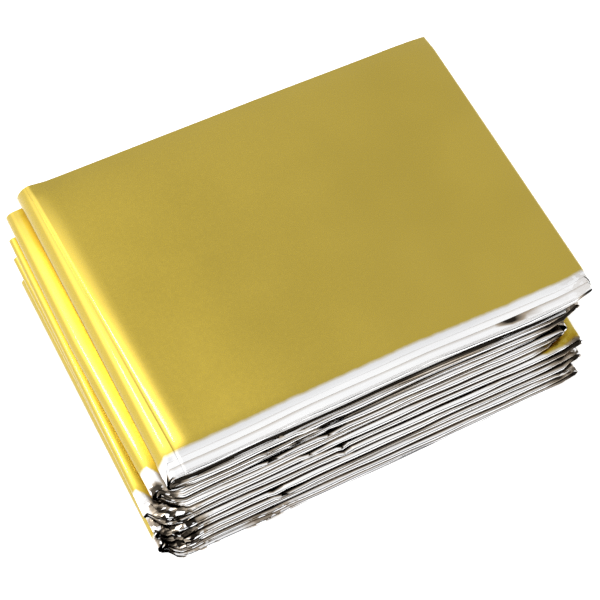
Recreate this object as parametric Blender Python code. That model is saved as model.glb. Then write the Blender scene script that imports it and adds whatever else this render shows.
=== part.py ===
"""Emergency foil blanket, folded into a packet.

One metallised film sheet is pleated front to back into a strip, and the strip is folded left and right
into a leaning pile. The solid is one back-and-forth section of that strip, with its layers a little apart.
The pile leans: its lower layers reach further to the left and to the front than the top one.

Frame: +X to the right along the front edge, +Y to the back, +Z up. The origin is the bottom centre.
"""

import math
from collections import namedtuple

import bmesh
import bpy

MM = 0.001

# Driving sizes, in millimetres
PLEATED = 1.15  # one strip: 16 leaves of film with the air between them
GAP = 0.45  # between one layer and the next
SINGLE = PLEATED
DOUBLE = 2 * PLEATED

# The pile's edges sink where the film has no layers pressing on it
FRONT_DROP = 0.10
FRONT_DROP_FROM = -37.0
FRONT_DROP_REACH = 9.0
LEFT_DROP = 0.12
LEFT_CREASE_BACK = -57.5
LEFT_CREASE_FRONT = -52.5
RIGHT_DROP = 0.035
RIGHT_DROP_FROM = 64.0
RIGHT_DROP_REACH = 5.0
BACK_DROP = 0.05
BACK_DROP_FROM = 50.0
BACK_DROP_REACH = 6.0
SIDE_BLEND = 5.0  # how far a turn's own front and back edges take to reach the layer's

# Where the solid is cut into flat faces, as shares of a layer's length and of its depth
LENGTH_SHARES = (0.012, 0.03, 0.07, 0.18, 0.33, 0.50, 0.67, 0.82, 0.93, 0.97, 0.988)
DEPTH_SHARES = (0.30, 0.60, 0.80, 0.91)
TURN_STEPS = 7

# Rounding of the strip's long edges: how far in from the edge, and how high, as shares of the thickness
# at the edge's middle. Then the rounding of its two ends, as shares of a right angle.
EDGE_ROUNDING = ((0.0, 0.5), (0.15, 0.85), (0.5, 1.0))
END_ROUNDING = (0.0, 0.45, 0.85)
SHARP_ANGLE = math.radians(40)

GOLD = (0.62, 0.45, 0.10, 1.0)
SATIN_ROUGHNESS = 0.35

# Layers from the top down. front and back are the edges of the layer between its folds, bow is how far
# the middle of the front edge stands out.
Layer = namedtuple("Layer", "thickness back front bow")
LAYERS = (
    Layer(thickness=DOUBLE, back=57.2, front=-43.6, bow=0.3),
    Layer(thickness=DOUBLE, back=55.0, front=-45.2, bow=-0.4),
    Layer(thickness=DOUBLE, back=55.5, front=-46.6, bow=0.5),
    Layer(thickness=DOUBLE, back=52.0, front=-48.2, bow=0.2),
    Layer(thickness=SINGLE, back=50.0, front=-49.6, bow=0.8),
    Layer(thickness=SINGLE, back=49.0, front=-50.6, bow=-0.5),
    Layer(thickness=SINGLE, back=46.5, front=-52.0, bow=0.4),
    Layer(thickness=SINGLE, back=45.5, front=-53.2, bow=-0.4),
    Layer(thickness=DOUBLE, back=43.5, front=-54.8, bow=0.5),
    Layer(thickness=DOUBLE, back=42.0, front=-56.8, bow=0.2),
)

# Where the strip turns or ends. nose_back and nose_front are the outermost x at the two ends of the turn,
# back and front its own y.
Turn = namedtuple("Turn", "nose_back nose_front back front")
LEFT_TURNS = (
    Turn(nose_back=-62.9, nose_front=-61.3, back=58.0, front=-44.2),
    Turn(nose_back=-67.3, nose_front=-64.8, back=56.6, front=-44.0),
    Turn(nose_back=-69.0, nose_front=-67.6, back=51.0, front=-45.8),
    Turn(nose_back=-69.9, nose_front=-67.4, back=46.2, front=-48.0),
    Turn(nose_back=-70.4, nose_front=-67.8, back=40.0, front=-53.2),
)
RIGHT_TURNS = (
    Turn(nose_back=71.8, nose_front=70.4, back=57.4, front=-42.6),
    Turn(nose_back=68.0, nose_front=67.0, back=54.0, front=-43.6),
    Turn(nose_back=63.5, nose_front=62.0, back=51.5, front=-46.6),
    Turn(nose_back=64.5, nose_front=63.6, back=48.0, front=-50.0),
    Turn(nose_back=62.0, nose_front=62.4, back=45.0, front=-52.8),
    Turn(nose_back=60.5, nose_front=60.4, back=43.0, front=-55.8),
)

# Long hollows where the layers stand further apart, mostly along the front
Hollow = namedtuple("Hollow", "under height centre reach")
HOLLOWS = (
    Hollow(under=0, height=0.20, centre=22.0, reach=34.0),
    Hollow(under=1, height=0.55, centre=6.0, reach=46.0),
    Hollow(under=2, height=0.30, centre=-24.0, reach=30.0),
    Hollow(under=3, height=0.35, centre=24.0, reach=30.0),
    Hollow(under=4, height=0.25, centre=-8.0, reach=38.0),
    Hollow(under=5, height=0.35, centre=18.0, reach=36.0),
    Hollow(under=6, height=0.25, centre=-26.0, reach=28.0),
    Hollow(under=7, height=0.35, centre=-2.0, reach=44.0),
    Hollow(under=8, height=0.30, centre=14.0, reach=40.0),
)
HOLLOW_AT_BACK = 0.15  # the share of its height that a hollow keeps towards the back
HOLLOW_FADE_BACK = 30.0
HOLLOW_FADE_FRONT = -50.0


def ease(share):
    """A smooth step from 0 to 1."""
    share = min(max(share, 0.0), 1.0)
    return share * share * (3 - 2 * share)


def mix(start, end, share):
    return start + (end - start) * share


def undersides():
    """The height of each layer's underside before hollows and sinking, from the top layer down."""
    heights = []
    height = 0.0
    for layer in reversed(LAYERS):
        heights.append(height)
        height += layer.thickness + GAP
    return heights[::-1]


def lift(layer_index, x, y):
    """How far the hollows below a layer raise it at a point."""
    fade = (HOLLOW_FADE_BACK - y) / (HOLLOW_FADE_BACK - HOLLOW_FADE_FRONT)
    towards_front = mix(HOLLOW_AT_BACK, 1.0, ease(fade))
    raised = 0.0
    for hollow in HOLLOWS:
        from_centre = abs(x - hollow.centre) / hollow.reach
        if hollow.under >= layer_index and from_centre < 1:
            raised += hollow.height * math.cos(from_centre * math.pi / 2) ** 2
    return raised * towards_front


def sink(x, y):
    """The share of its height that the pile loses near its edges."""
    depth_share = (BACK_DROP_FROM - y) / (BACK_DROP_FROM - FRONT_DROP_FROM)
    crease = mix(LEFT_CREASE_BACK, LEFT_CREASE_FRONT, min(max(depth_share, 0.0), 1.0))
    left_end = LEFT_TURNS[0].nose_back
    front = FRONT_DROP * ease((FRONT_DROP_FROM - y) / FRONT_DROP_REACH)
    left = LEFT_DROP * ease((crease - x) / (crease - left_end))
    right = RIGHT_DROP * ease((x - RIGHT_DROP_FROM) / RIGHT_DROP_REACH)
    back = BACK_DROP * ease((y - BACK_DROP_FROM) / BACK_DROP_REACH)
    return 1 - (1 - front) * (1 - left) * (1 - right) * (1 - back)


# One cut across the strip. over and under are its two sides, each an (x, z) point. In a turn, share is
# None and x counts from the turn's nose. In a layer, share is how far along it the cut lies, from the nose
# of turn on the left to the nose of right_turn on the right, and x is added to that.
Station = namedtuple("Station", "layer_index share turn over under right_turn", defaults=(None,))


def turn_radius(upper, levels):
    """Half the height of the two layers that a turn joins."""
    top = levels[upper] + LAYERS[upper].thickness
    return (top - levels[upper + 1]) / 2


def turn_stations(upper, turn, side, levels):
    """The stations round a turn that joins a layer to the one below. side is -1 on the left, 1 on the right."""
    top = levels[upper] + LAYERS[upper].thickness
    bottom = levels[upper + 1]
    outer_radius = turn_radius(upper, levels)
    outer_centre = (top + bottom) / 2
    inner_centre = levels[upper] - GAP / 2
    stations = []
    for step in range(TURN_STEPS + 1):
        angle = math.pi * (0.5 - step / TURN_STEPS)
        reach = math.cos(angle)
        outer = (side * outer_radius * (reach - 1), outer_centre + outer_radius * math.sin(angle))
        inner = (side * (GAP / 2 * reach - outer_radius), inner_centre + GAP / 2 * math.sin(angle))
        layer_index = upper if step * 2 <= TURN_STEPS else upper + 1
        stations.append(Station(layer_index, None, turn, outer, inner))
    return stations


def end_stations(layer_index, turn, side, levels):
    """The stations that round off the strip's own end, from the layer out to its last cut."""
    half = LAYERS[layer_index].thickness / 2
    centre = levels[layer_index] + half
    stations = []
    for angle_share in END_ROUNDING:
        angle = angle_share * math.pi / 2
        x = side * half * (math.sin(angle) - 1)
        height = half * math.cos(angle)
        stations.append(Station(layer_index, None, turn, (x, centre + height), (x, centre - height)))
    return stations


def layer_stations(layer_index, left, right, left_inset, right_inset, levels):
    """The stations along the flat of a layer, from left to right, without the two that its turns bring."""
    bottom = levels[layer_index]
    top = bottom + LAYERS[layer_index].thickness
    stations = []
    for share in LENGTH_SHARES:
        inset = mix(left_inset, -right_inset, share)
        stations.append(Station(layer_index, share, left, (inset, top), (inset, bottom), right))
    return stations


def strip_stations():
    """The strip's stations from its upper end, back and forth, to its lower end."""
    levels = undersides()
    last = len(LAYERS) - 1
    path = end_stations(0, RIGHT_TURNS[0], 1, levels)[::-1]
    for index, layer in enumerate(LAYERS):
        goes_left = index % 2 == 0
        left = LEFT_TURNS[index // 2]
        right = RIGHT_TURNS[(index + 1) // 2]
        left_upper = index if goes_left else index - 1
        left_inset = turn_radius(left_upper, levels)
        if index in (0, last):
            right_inset = layer.thickness / 2
        else:
            right_inset = turn_radius(index - 1 if goes_left else index, levels)
        run = layer_stations(index, left, right, left_inset, right_inset, levels)
        if goes_left:
            path += run[::-1] + turn_stations(index, left, -1, levels)
            continue
        path += run
        if index < last:
            around = turn_stations(index, right, 1, levels)
            path += [swap_sides(station) for station in around]
    path += [swap_sides(station) for station in end_stations(last, RIGHT_TURNS[-1], 1, levels)]
    return keep_outside_outside(path)


def swap_sides(station):
    """The same station with its two sides exchanged."""
    return station._replace(over=station.under, under=station.over)


def keep_outside_outside(path):
    """Exchanges the sides of every second layer's stations, on which the strip's one face looks down."""
    kept = []
    for station in path:
        if station.share is not None and station.layer_index % 2:
            station = swap_sides(station)
        kept.append(station)
    return kept


def place(station, side, depth):
    """The point of a station's side at a depth share, 0 at the back edge and 1 at the front edge."""
    layer = LAYERS[station.layer_index]
    offset, z = side
    left_nose = mix(station.turn.nose_back, station.turn.nose_front, depth)
    if station.share is None:
        x = left_nose + offset
        back, front = station.turn.back, station.turn.front
    else:
        right_nose = mix(station.right_turn.nose_back, station.right_turn.nose_front, depth)
        x = mix(left_nose, right_nose, station.share) + offset
        bow = layer.bow * math.sin(math.pi * station.share)
        from_left = ease((x - left_nose) / SIDE_BLEND)
        from_right = ease((right_nose - x) / SIDE_BLEND)
        back = mix(station.turn.back, layer.back, from_left)
        back = mix(station.right_turn.back, back, from_right)
        front = mix(station.turn.front, layer.front - bow, from_left)
        front = mix(station.right_turn.front, front, from_right)
    y = mix(back, front, depth)
    z += lift(station.layer_index, x, y)
    z *= 1 - sink(x, y)
    return x, y, z


def ring(station):
    """The closed ring of points round the strip at one station, its two long edges rounded."""
    inset = math.dist(station.over, station.under) / station_depth(station)
    edge = [(share * inset, height) for share, height in EDGE_ROUNDING]
    upper = edge + [(share, 1.0) for share in DEPTH_SHARES]
    upper += [(1 - share, height) for share, height in reversed(edge)]
    lower = [(share, 1 - height) for share, height in reversed(upper[1:-1])]
    points = []
    for depth, height in upper + lower:
        side = tuple(mix(under, over, height) for under, over in zip(station.under, station.over))
        points.append(place(station, side, depth))
    return points


def station_depth(station):
    """How deep the strip is at a station, from its back edge to its front edge."""
    if station.share is None:
        return station.turn.back - station.turn.front
    layer = LAYERS[station.layer_index]
    return layer.back - layer.front


def build_blanket():
    """One closed mesh: rings along the strip, joined by quads and closed at the strip's two ends."""
    mesh_builder = bmesh.new()
    rings = []
    for station in strip_stations():
        rings.append([mesh_builder.verts.new(point) for point in ring(station)])
    count = len(rings[0])
    for here, there in zip(rings, rings[1:]):
        for i in range(count):
            j = (i + 1) % count
            mesh_builder.faces.new((here[i], here[j], there[j], there[i]))
    mesh_builder.faces.new(rings[0][::-1])
    mesh_builder.faces.new(rings[-1])
    bmesh.ops.triangulate(mesh_builder, faces=mesh_builder.faces[:])
    bmesh.ops.recalc_face_normals(mesh_builder, faces=mesh_builder.faces[:])
    centre_on_origin(mesh_builder)
    mesh = bpy.data.meshes.new("foil_blanket")
    mesh_builder.to_mesh(mesh)
    mesh_builder.free()
    mesh.shade_smooth()
    mesh.set_sharp_from_angle(angle=SHARP_ANGLE)
    return mesh


def centre_on_origin(mesh_builder):
    """Puts the middle of the plan's outline on the origin and turns millimetres into metres."""
    xs = [v.co.x for v in mesh_builder.verts]
    ys = [v.co.y for v in mesh_builder.verts]
    lowest = min(v.co.z for v in mesh_builder.verts)
    middle_x = (min(xs) + max(xs)) / 2
    middle_y = (min(ys) + max(ys)) / 2
    for v in mesh_builder.verts:
        v.co.x = (v.co.x - middle_x) * MM
        v.co.y = (v.co.y - middle_y) * MM
        v.co.z = (v.co.z - lowest) * MM


def gold_film():
    material = bpy.data.materials.new("gold_film")
    material.use_nodes = True
    shader = material.node_tree.nodes["Principled BSDF"]
    shader.inputs["Base Color"].default_value = GOLD
    shader.inputs["Metallic"].default_value = 1.0
    shader.inputs["Roughness"].default_value = SATIN_ROUGHNESS
    return material


def main():
    for old in list(bpy.data.objects):
        bpy.data.objects.remove(old)
    blanket = bpy.data.objects.new("foil_blanket", build_blanket())
    blanket.data.materials.append(gold_film())
    bpy.context.scene.collection.objects.link(blanket)


main()
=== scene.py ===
"""The folded foil blanket: one film sheet, 1.6 m by 2.1 m, gold outside and silver inside.

The sheet is pleated front to back into a strip of 16 leaves, and the strip is folded left and right into
16 lengths that lie on each other. The mesh is that whole sheet, folded as the real one is. Sizes are in
millimetres until the mesh is made.
"""

import math
from collections import namedtuple

import bpy
import numpy as np
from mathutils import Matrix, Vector


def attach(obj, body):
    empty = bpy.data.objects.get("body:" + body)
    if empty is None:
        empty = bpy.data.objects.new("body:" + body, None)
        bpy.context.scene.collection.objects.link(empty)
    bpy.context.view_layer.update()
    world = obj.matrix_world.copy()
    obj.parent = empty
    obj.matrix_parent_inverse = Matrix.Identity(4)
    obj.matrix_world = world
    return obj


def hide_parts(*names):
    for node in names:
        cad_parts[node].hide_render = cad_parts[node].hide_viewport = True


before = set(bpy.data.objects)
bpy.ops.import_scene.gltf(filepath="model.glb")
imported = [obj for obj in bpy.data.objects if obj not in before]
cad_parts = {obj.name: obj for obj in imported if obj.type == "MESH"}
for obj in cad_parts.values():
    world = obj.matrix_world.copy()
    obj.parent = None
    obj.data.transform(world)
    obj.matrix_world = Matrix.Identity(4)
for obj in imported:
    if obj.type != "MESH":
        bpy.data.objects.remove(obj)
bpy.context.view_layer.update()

MM = 0.001

# The film's colours and finish
GOLD_DEEP = (0.404, 0.294, 0.026, 1)
GOLD_PALE = (0.434, 0.317, 0.031, 1)
SILVER_DULL = (0.88, 0.88, 0.89, 1)
SILVER_BRIGHT = (0.98, 0.98, 0.98, 1)
SILVER_STRETCH = (0.12, 1.0, 1.0)
GOLD_ROUGHNESS = 0.26
GOLD_COAT = 0.7
COAT_ROUGHNESS = 0.06
SILVER_ROUGHNESS = 0.12
SILVER_DULL_EDGE = 0.80
# Painted shade: the colours the film is darkened towards where other film covers it
GOLD_IN_SHADE = (0.22, 0.105, 0.006, 1)
SHADE_BROWN_AT = 0.35
SHADE_BLACK_AT = 0.8
SHADE_BROWN = (0.42, 0.35, 0.27, 1)
SHADE_BLACK = (0.02, 0.016, 0.012, 1)
COVERED_COAT = 0.3  # how much painted shade takes the coat away fully, so no highlight shows in the shade
FACET_SCALE = 950.0  # the facets of crumpled film
FACET_STRETCH = (0.6, 1.0, 1.6)
FACET_RELIEF = 14.0
FACETS_DARK = (0.25, 0.65)  # painted shade on crumpled film: from the facets that stay bright to those that are dark
# The film's grains, as the scale and detail of a noise, and the part of a noise that spans two colours
CLOUDS = (30.0, 2.0)
STREAKS = (220.0, 4.0)
RAGGED_EDGE = (260.0, 3.0)
SATIN = (900.0, 3.0)
NOISE_SPAN = (0.35, 0.65)
ROUGHNESS_SPAN = (0.3, 0.7)
SATIN_SPREAD = 0.03
SILVER_SMOOTHER = 0.04
SILVER_ROUGHER = 0.06
BORDER_WANDER = 0.35  # how far the border's edge wanders, and half its softness, in millimetres
BORDER_SOFT = 0.5
DULL_REACH = 2.5
# The relief: fine and wide grain on the gold, lines on the silver, with the height of each
FINE_RELIEF = (700.0, 3.0)
FINE_HEIGHT = 0.25
WIDE_RELIEF = (60.0, 2.0)
WIDE_HEIGHT = 2.0
LINE_HEIGHT = 6.0
RELIEF_STRENGTH = 0.35
RELIEF_DEPTH = 0.00003
SHARP_ANGLE = math.radians(70)
SAME_PLACE = 1e-6

# The pile as the solids have it
PLEATED = 1.15
GAP = 0.45
SINGLE = PLEATED
DOUBLE = 2 * PLEATED
LAYER_THICKNESSES = (DOUBLE, DOUBLE, DOUBLE, DOUBLE, SINGLE, SINGLE, SINGLE, SINGLE, DOUBLE, DOUBLE)
FRONT_DROP = 0.10
FRONT_DROP_FROM = -37.0
FRONT_DROP_REACH = 9.0
LEFT_DROP = 0.12
LEFT_END = -62.9
OUTER_DROP = 0.055  # and what the noses further out lose
OUTER_REACH = 7.0
RIGHT_DROP = 0.035
RIGHT_DROP_FROM = 64.0
RIGHT_DROP_REACH = 5.0
BACK_DROP = 0.05
BACK_DROP_FROM = 50.0
BACK_DROP_REACH = 6.0
Hollow = namedtuple("Hollow", "under height centre reach")
HOLLOWS = (
    Hollow(0, 0.20, 22.0, 34.0),
    Hollow(1, 0.55, 6.0, 46.0),
    Hollow(2, 0.30, -24.0, 30.0),
    Hollow(3, 0.35, 24.0, 30.0),
    Hollow(4, 0.25, -8.0, 38.0),
    Hollow(5, 0.35, 18.0, 36.0),
    Hollow(6, 0.25, -26.0, 28.0),
    Hollow(7, 0.35, -2.0, 44.0),
    Hollow(8, 0.30, 14.0, 40.0),
)
HOLLOW_AT_BACK = 0.15
HOLLOW_FADE_BACK = 30.0
HOLLOW_FADE_FRONT = -50.0
BOX_MIDDLE = (0.7, 0.5)  # where the box's middle lies in the frame of these tables

# The crease along the top's left edge: its x at the back and the front edge, how far right of it the film
# starts to bend, and the share of the left drop reached at it, then the groove that the crease is
CREASE_BACK = -58.9
CREASE_FRONT = -54.2
BEND_REACH = 4.5
BEND_SHARE_BACK = 0.04
BEND_SHARE_FRONT = 0.28
BEND_POWER = 1.5
BEND_RISE = 0.56  # how soon that share grows towards the front
STEEPNESS_BACK = 1.15
STEEPNESS_FRONT = 1.75
GROOVE_BACK = 0.16
GROOVE_FRONT = 0.14
GROOVE_HALF = 0.35
CREASE_OFFSETS = (6.0, 4.5, 3.2, 2.0, 1.0, 0.35, 0.0, -0.35)
CREASE_TO_NOSE = (0.35, 0.7)
BACK_CREASE = 1.3  # how far the crease along the back edge lies from it
BACK_CREASE_DEPTH = 0.10
BACK_CREASE_HALF = 0.6

# The sheet
LEAVES = 16
LEAF_STEP = 0.066  # from one leaf to the next
INSIDE_SHOWS = 30.0  # how far in from a front fold the leaves show their silver side

# The 16 lengths of the strip from the top down. layer is the solid's layer that each lies in, place its
# place there. front and back are its own edges, lip how far its upper leaf stands out over the folds and
# droop how far it hangs over them. margin is the width of the bare silver border there, bare its width at
# the right end, and shade how far in front of the length above the film's painted shade already begins.
TOP_LIP = -3.4
TOP_LIP_WAVE = 0.12
STEP_OPEN = 0.3  # how far the film in that step stays free of painted shade behind the leaf above it
SECOND_STEP = 1.9  # how far the top length's second pair of leaves stays behind the ones below it
Length = namedtuple("Length", "layer place front back lip droop margin bare shade")
LENGTHS = (
    Length(0, 0, -43.6, 57.2, TOP_LIP, 0.0, 1.8, 2.0, 0.0),
    Length(0, 1, -43.9, 56.6, 0.3, 0.7, 4.6, 4.6, -0.4),
    Length(1, 0, -44.6, 55.4, 0.4, 0.95, 5.0, 4.0, 1.7),
    Length(1, 1, -45.3, 54.8, 0.5, 1.2, 4.6, 4.0, 0.5),
    Length(2, 0, -45.9, 55.5, 0.5, 0.95, 5.0, 3.0, 0.7),
    Length(2, 1, -46.7, 55.0, 0.5, 1.25, 5.0, 3.0, 0.4),
    Length(3, 0, -47.5, 52.4, 0.6, 0.95, 5.0, 3.0, 0.7),
    Length(3, 1, -48.3, 51.6, 0.6, 1.25, 5.0, 3.0, 0.4),
    Length(4, 0, -49.5, 50.0, 0.7, 1.2, 5.0, 1.2, 0.6),
    Length(5, 0, -50.6, 49.0, 0.6, 1.2, 5.0, 1.2, 0.5),
    Length(6, 0, -51.8, 46.5, 0.7, 1.2, 5.0, 2.0, 0.7),
    Length(7, 0, -53.1, 45.5, 0.6, 1.2, 5.0, 3.0, 0.5),
    Length(8, 0, -54.1, 43.8, 0.6, 0.95, 3.4, 3.4, 0.8),
    Length(8, 1, -55.0, 43.0, 0.6, 1.2, 3.4, 3.4, 0.4),
    Length(9, 0, -56.0, 42.2, 0.6, 0.95, 3.4, 3.4, 0.7),
    Length(9, 1, -56.9, 41.6, 0.4, 0.9, 3.4, 3.4, 0.4),
)
BARE_FROM = 44.0
BARE_REACH = 10.0

# The turns in the order in which the strip takes them, from its upper end. first and second are the two
# lengths that a turn joins, numbered from the top, side is -1 on the left. outside is the highest and the
# lowest length of the bundle whose nose this turn shares. back is the turn's own back edge, recess how far
# behind its lengths' front edges its own lies, and blend how far along them the recess takes to fade. pinch
# is how far its front end is pressed towards the middle of its bundle.
Turn = namedtuple("Turn", "first second side outside nose_back nose_front back recess blend pinch")
TURNS = (
    Turn(3, 2, -1, (1, 4), -62.5, -59.9, 57.4, 0.5, 14, 0.0),
    Turn(2, 1, 1, (1, 2), 71.8, 70.2, 57.2, 1.0, 8, 0.0),
    Turn(1, 4, -1, (1, 4), -62.5, -59.9, 58.0, 0.6, 14, 0.0),
    Turn(4, 5, 1, (4, 5), 68.0, 65.9, 54.0, 1.8, 8, 0.7),
    Turn(5, 8, -1, (5, 8), -67.3, -64.0, 56.6, 3.9, 7, 0.3),
    Turn(8, 7, 1, (6, 9), 63.0, 60.6, 51.5, 0.1, 8, 0.7),
    Turn(7, 6, -1, (5, 8), -67.3, -64.0, 55.6, 3.7, 7, 0.3),
    Turn(6, 9, 1, (6, 9), 63.0, 60.6, 51.5, 1.6, 8, 0.7),
    Turn(9, 10, -1, (9, 10), -69.0, -67.8, 51.0, 5.0, 7, 0.3),
    Turn(10, 11, 1, (10, 11), 64.8, 64.0, 48.0, 0.5, 8, 0.7),
    Turn(11, 12, -1, (11, 12), -69.9, -67.0, 46.2, 1.8, 6, 0.3),
    Turn(12, 13, 1, (12, 13), 62.0, 62.4, 45.0, 0.5, 8, 0.7),
    Turn(13, 16, -1, (13, 16), -70.4, -67.6, 40.0, 2.6, 3.5, 0.3),
    Turn(16, 15, 1, (15, 16), 60.5, 60.4, 43.0, 0.5, 8, 0.7),
    Turn(15, 14, -1, (13, 16), -70.4, -67.6, 39.4, 2.4, 3.5, 0.3),
)
UPPER_END = (66.6, 65.4)  # where the strip starts, on the right of length 3, at the back and the front
LOWER_END = (61.0, 61.2)  # where it ends, on the right of length 14
LOOSE_ENDS = {3: UPPER_END, 14: LOWER_END}
END_BLEND = 8.0  # how far a turn's own back edge takes to fade into the length's
END_FADE = 5.0  # how far the lips take to fade at a length's ends
LEFT_MARGIN = 1.8  # how much wider the silver border is on the left turns
LEFT_MARGIN_FROM = -58.0
LEFT_MARGIN_REACH = 5.0
LEFT_MARGIN_LAST = 12
BOW = -0.9  # how far the second left nose bows out between its ends
BOW_LENGTHS = (5, 8)
BOW_FROM = -52.0
BOW_REACH = 10.0
BOW_SHAPE = 2.6  # makes the bow's largest share 1

# The turns' front ends are pinched towards the middle of their bundle
PINCH_DEPTH = 8.0
PINCH_REACH = 5.0

# How uneven the front edges are
FRONT_WAVE = 0.22
LEAF_WAVE = 0.10
LIP_WAVE = 0.26
DROOP_WAVE = 0.32
DROOP_MOST = (1.0, 1.42)  # how far a lip can hang before it meets the length below, in each place
LEAN = 0.30  # how far a length's lowest leaf stands out in front of its highest
NOSE_LIP = 0.3  # how far the outer leaf stands out in front of a turn
UNDER_LIP = 0.3  # how far the leaf that looks down stays behind
DENT_DEPTH = 4.0  # how far back a dent reaches
DENT_FALL = 1.4
DENT_OPENS = 0.85
DENT_DARK_FROM = 0.5  # the part of a dent, as distances from the front edge, that gets painted shade
DENT_DARK_TO = 4.5
# the strength of the painted shade in a dent, and what is taken off it
DENT_DARKNESS = 1.6
DENT_LIGHT = 0.25

# Where the upper leaf of a length is dented down at its front edge, and a wedge opens above it, darkened
# with painted shade
Dent = namedtuple("Dent", "length x depth left right")
DENTS = (
    Dent(3, -27.3, 1.0, 3.0, 6.0),
    Dent(3, -56.0, 1.0, 3.0, 9.0),
    Dent(4, -20.5, 0.8, 2.5, 9.0),
    Dent(5, -15.3, 1.0, 3.0, 9.0),
    Dent(5, -31.9, 0.8, 2.5, 8.0),
    Dent(6, -23.2, 0.9, 3.0, 9.0),
    Dent(7, -14.5, 1.0, 3.0, 6.0),
    Dent(7, -31.7, 1.1, 3.5, 9.0),
    Dent(9, -21.0, 1.0, 3.0, 6.0),
    Dent(10, -11.9, 1.0, 1.6, 2.0),
    Dent(11, -11.8, 0.9, 2.0, 3.0),
    Dent(12, -33.6, 0.7, 2.0, 4.0),
    Dent(13, -31.4, 1.0, 2.5, 9.0),
    Dent(14, 55.0, 0.8, 2.0, 4.0),
    Dent(8, 55.0, 0.8, 1.5, 3.0),
)

# The wedge of painted shade in the step of the top length: where it starts, where it is darkest and how far
# it runs on
WEDGE_START = 41.5
WEDGE_DARKEST = 44.0
WEDGE_END = 49.5
WEDGE_TAIL = 0.42  # what is left of it from there to the right end
WEDGE_TAIL_END = (63.0, 66.0)

# Where the front is crumpled: the lengths, the middle and the reach along x, the size, how much painted
# shade the facets get, standing in for facets that look away from the light, and how far from the front edge
# they go
Crumple = namedtuple("Crumple", "first last x reach size blot deep")
CRUMPLES = (
    Crumple(5, 8, -61.5, 5.0, 0.4, 0.75, 2.4),
    Crumple(9, 10, -60.5, 5.5, 0.5, 0.85, 5.0),
    Crumple(11, 14, -61.0, 7.0, 1.2, 1.0, 6.0),
    Crumple(15, 16, -57.0, 5.0, 0.35, 0.4, 3.0),
    Crumple(15, 16, -36.0, 7.0, 0.5, 0.5, 2.0),
    Crumple(1, 2, 67.0, 4.0, 0.35, 0.12, 3.0),
    Crumple(4, 9, 62.0, 4.0, 0.5, 0.7, 3.0),
    Crumple(10, 16, 61.0, 4.0, 0.3, 0.7, 3.0),
)
CRUMPLE_DEPTH = 5.0
CRUMPLE_SIZE = (0.5, 1.0, 0.45)
CRUMPLE_KNOTS = 6  # knots of the crumpling across the leaves
CRUMPLE_STRIDE = 2  # stations from one knot to the next
CRUMPLE_SEED = 7

# Low swells on the top leaf: the middle, the height, the half length along the heading and the half width
Swell = namedtuple("Swell", "x y height length width heading")
SWELLS = (
    Swell(-40.0, 38.0, 0.16, 22.0, 5.0, 12.0),
    Swell(-48.0, 6.0, 0.12, 18.0, 4.0, 60.0),
    Swell(-30.0, -12.0, 0.10, 24.0, 8.0, 75.0),
    Swell(18.0, 40.0, 0.10, 30.0, 7.0, 4.0),
    Swell(30.0, -18.0, 0.08, 26.0, 10.0, 20.0),
)
TOP_CLEAR = 0.02  # how far the top leaf stays above the leaf under it, beyond its own step
TURN_CLEAR = 3.0  # how many steps more the outer leaf keeps clear where the top length turns
LOWEST = 0.03  # the film's lowest point above the floor

# Painted shade, how dark the film is made where other film covers it: from the edge of what covers it, and
# from an edge of its own under the pile
COVER_REACH = 0.5
COVER_BESIDE = 0.2
SHADE_SOFTNESS = 0.6
# painted shade on the lowest part of a lip's hanging face
LIP_SHADE = 0.45
NOSE_SHADE = 0.8  # painted shade beside the left nose above, and how far it reaches
NOSE_SHADE_REACH = 1.1
NOSE_SHADE_BARE = 0.15  # the share of it on the bare border
TIP_SHADE = 0.85  # painted shade on the folds at the ends of the lengths, and how far in along them
TIP_REACH = 1.5
RIGHT_TIP_REACH = 3.0
LEFT_TIP_REACH = 0.8
DARK_LEFT_FROM = 12.5  # below this length the folds get painted shade at the left end too
RIGHT_SHADE = 1.1  # what the painted shade under a lip gains towards the right end
RIGHT_SHADE_FROM = 46.0
RIGHT_SHADE_REACH = 14.0
# How far the upper leaf of a length hangs over its back folds, how far it stands out behind them, and how
# far back that moves the last row of the second leaf and of the upper one
BACK_HANG = 0.85
BACK_OUT = 0.12
BACK_TURN = (0.55, 0.65)
# How much of a leaf stays free of painted shade along its front edge and along its back fold, where nothing
# hangs over it, and how far the painted shade takes to darken the film from there
EDGE_OPEN = 0.12
BACK_OPEN = 0.7
EDGE_FADE = 0.7

# Stations along one length and rows across one leaf
LENGTH_SHARES = tuple(i / 25 for i in range(1, 25))
CORNER_XS = (-65.0, -63.5, -62.0, -60.5, -58.5, -56.0)
TURN_STEPS = 8
LIP_SHARES = (0.0, 0.35, 0.7, 1.0)  # down the hanging part of a lip, then round its bend
LIP_BEND = (1 / 3, 2 / 3, 1.0)
LIP_RADIUS = 0.55
LIP_LEAST = 0.02
LEAF_DEPTH = 99.4
FRONT_STRETCH = 9.0
CORNER_FROM = 5
CREASE_CLEAR = 1.5
LEAST_CUT = 0.004  # the share of a length that its first cut stays clear of the end
OUTER_ROWS = (0.5, 1.2, 2.6, 4.5, 6.5, 9.0, 14.0, 24.0, 37.0, 50.0, 65.0, 80.0, 93.0, 97.0, 98.1, 98.8)
INNER_ROWS = (1.2, 4.5, 9.0, 50.0, 93.0, 98.8)


def ease(share):
    share = np.clip(share, 0, 1)
    return share * share * (3 - 2 * share)


def mix(start, end, share):
    return start + (end - start) * share


def wave(x, seed):
    """An uneven curve between about -1 and 1 along x, another one for each seed."""
    return (
        0.45 * np.sin(x / 13.7 + seed * 1.7)
        + 0.35 * np.sin(x / 5.9 + seed * 2.9)
        + 0.20 * np.sin(x / 3.1 + seed * 4.3)
    )


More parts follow.
